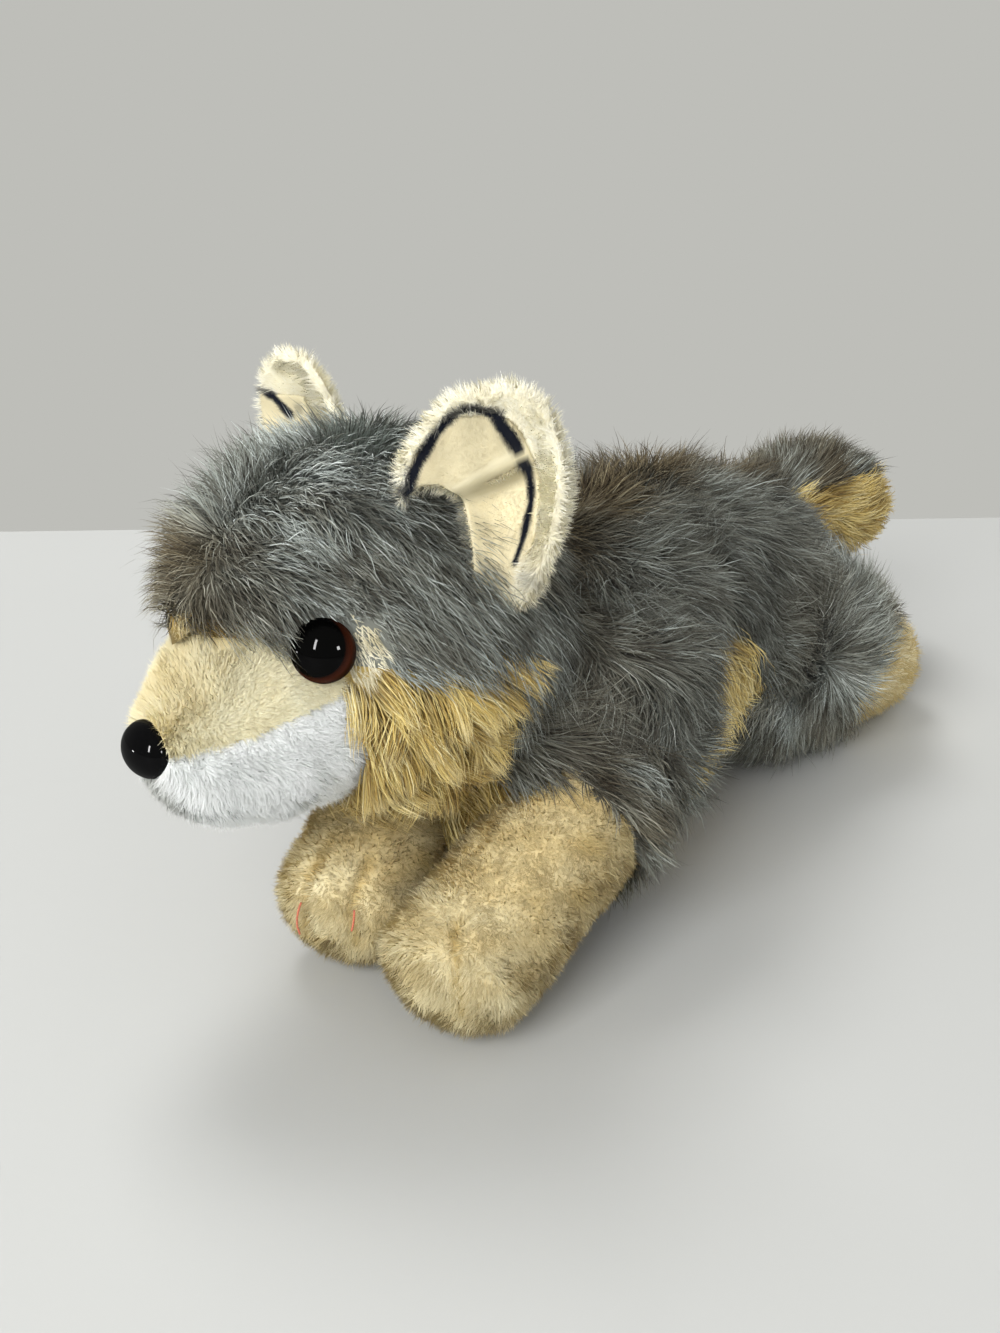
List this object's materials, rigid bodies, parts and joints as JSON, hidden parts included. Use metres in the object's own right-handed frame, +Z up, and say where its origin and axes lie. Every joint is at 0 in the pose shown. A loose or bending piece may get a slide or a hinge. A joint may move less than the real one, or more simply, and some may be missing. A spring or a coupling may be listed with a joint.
{
  "type": "plush wolf",
  "caption": "Stuffed toy wolf lying on its belly with forelegs out in front, grey long-pile fur, beige plush muzzle and legs, white chin and cream lined ears",
  "frame": {"origin": "on the flat underside of the belly, where the toy rests", "axes": "-Y is where the body faces, +Y is towards the tail, +X is the wolf's left side, +Z is up"},
  "size_m": [0.1431, 0.3343, 0.1569],
  "materials": {
    "grey_fur": "long pile, grey with brown-black roots",
    "tan_fur": "long pile, yellow-tan with brown roots",
    "beige_plush": "short dense pile, beige",
    "white_plush": "short dense pile, white",
    "cream_plush": "short dense pile, cream",
    "cream_velboa": "very short smooth pile, cream with dark sprayed lines",
    "stuffing": "loose white polyester fibre",
    "eye_plastic": "clear gloss over brown iris and black pupil",
    "nose_plastic": "black gloss",
    "washer_plastic": "white moulded"
  },
  "bodies": {
    "root": {"back_fur_left": "grey_fur", "back_fur_right": "grey_fur", "belly_chest_fur": "tan_fur", "body_stuffing": "stuffing", "cheek_fur_left": "tan_fur", "cheek_fur_right": "tan_fur", "chin": "white_plush", "ear_left_back": "cream_plush", "ear_left_lining": "cream_velboa", "ear_right_back": "cream_plush", "ear_right_lining": "cream_velboa", "eye_left": "eye_plastic", "eye_right": "eye_plastic", "eye_washer_left": "washer_plastic", "eye_washer_right": "washer_plastic", "foreleg_left_inner": "beige_plush", "foreleg_left_outer": "beige_plush", "foreleg_left_stuffing": "stuffing", "foreleg_right_inner": "beige_plush", "foreleg_right_outer": "beige_plush", "foreleg_right_stuffing": "stuffing", "head_crown_fur": "grey_fur", "head_stuffing": "stuffing", "hind_foot_left": "beige_plush", "hind_foot_right": "beige_plush", "hind_leg_left_fur": "grey_fur", "hind_leg_left_stuffing": "stuffing", "hind_leg_right_fur": "grey_fur", "hind_leg_right_stuffing": "stuffing", "muzzle_top": "beige_plush", "nose": "nose_plastic", "nose_washer": "washer_plastic", "tail_stuffing": "stuffing", "tail_top_fur": "grey_fur", "tail_under_fur": "tan_fur"}
  },
  "joints": []
}
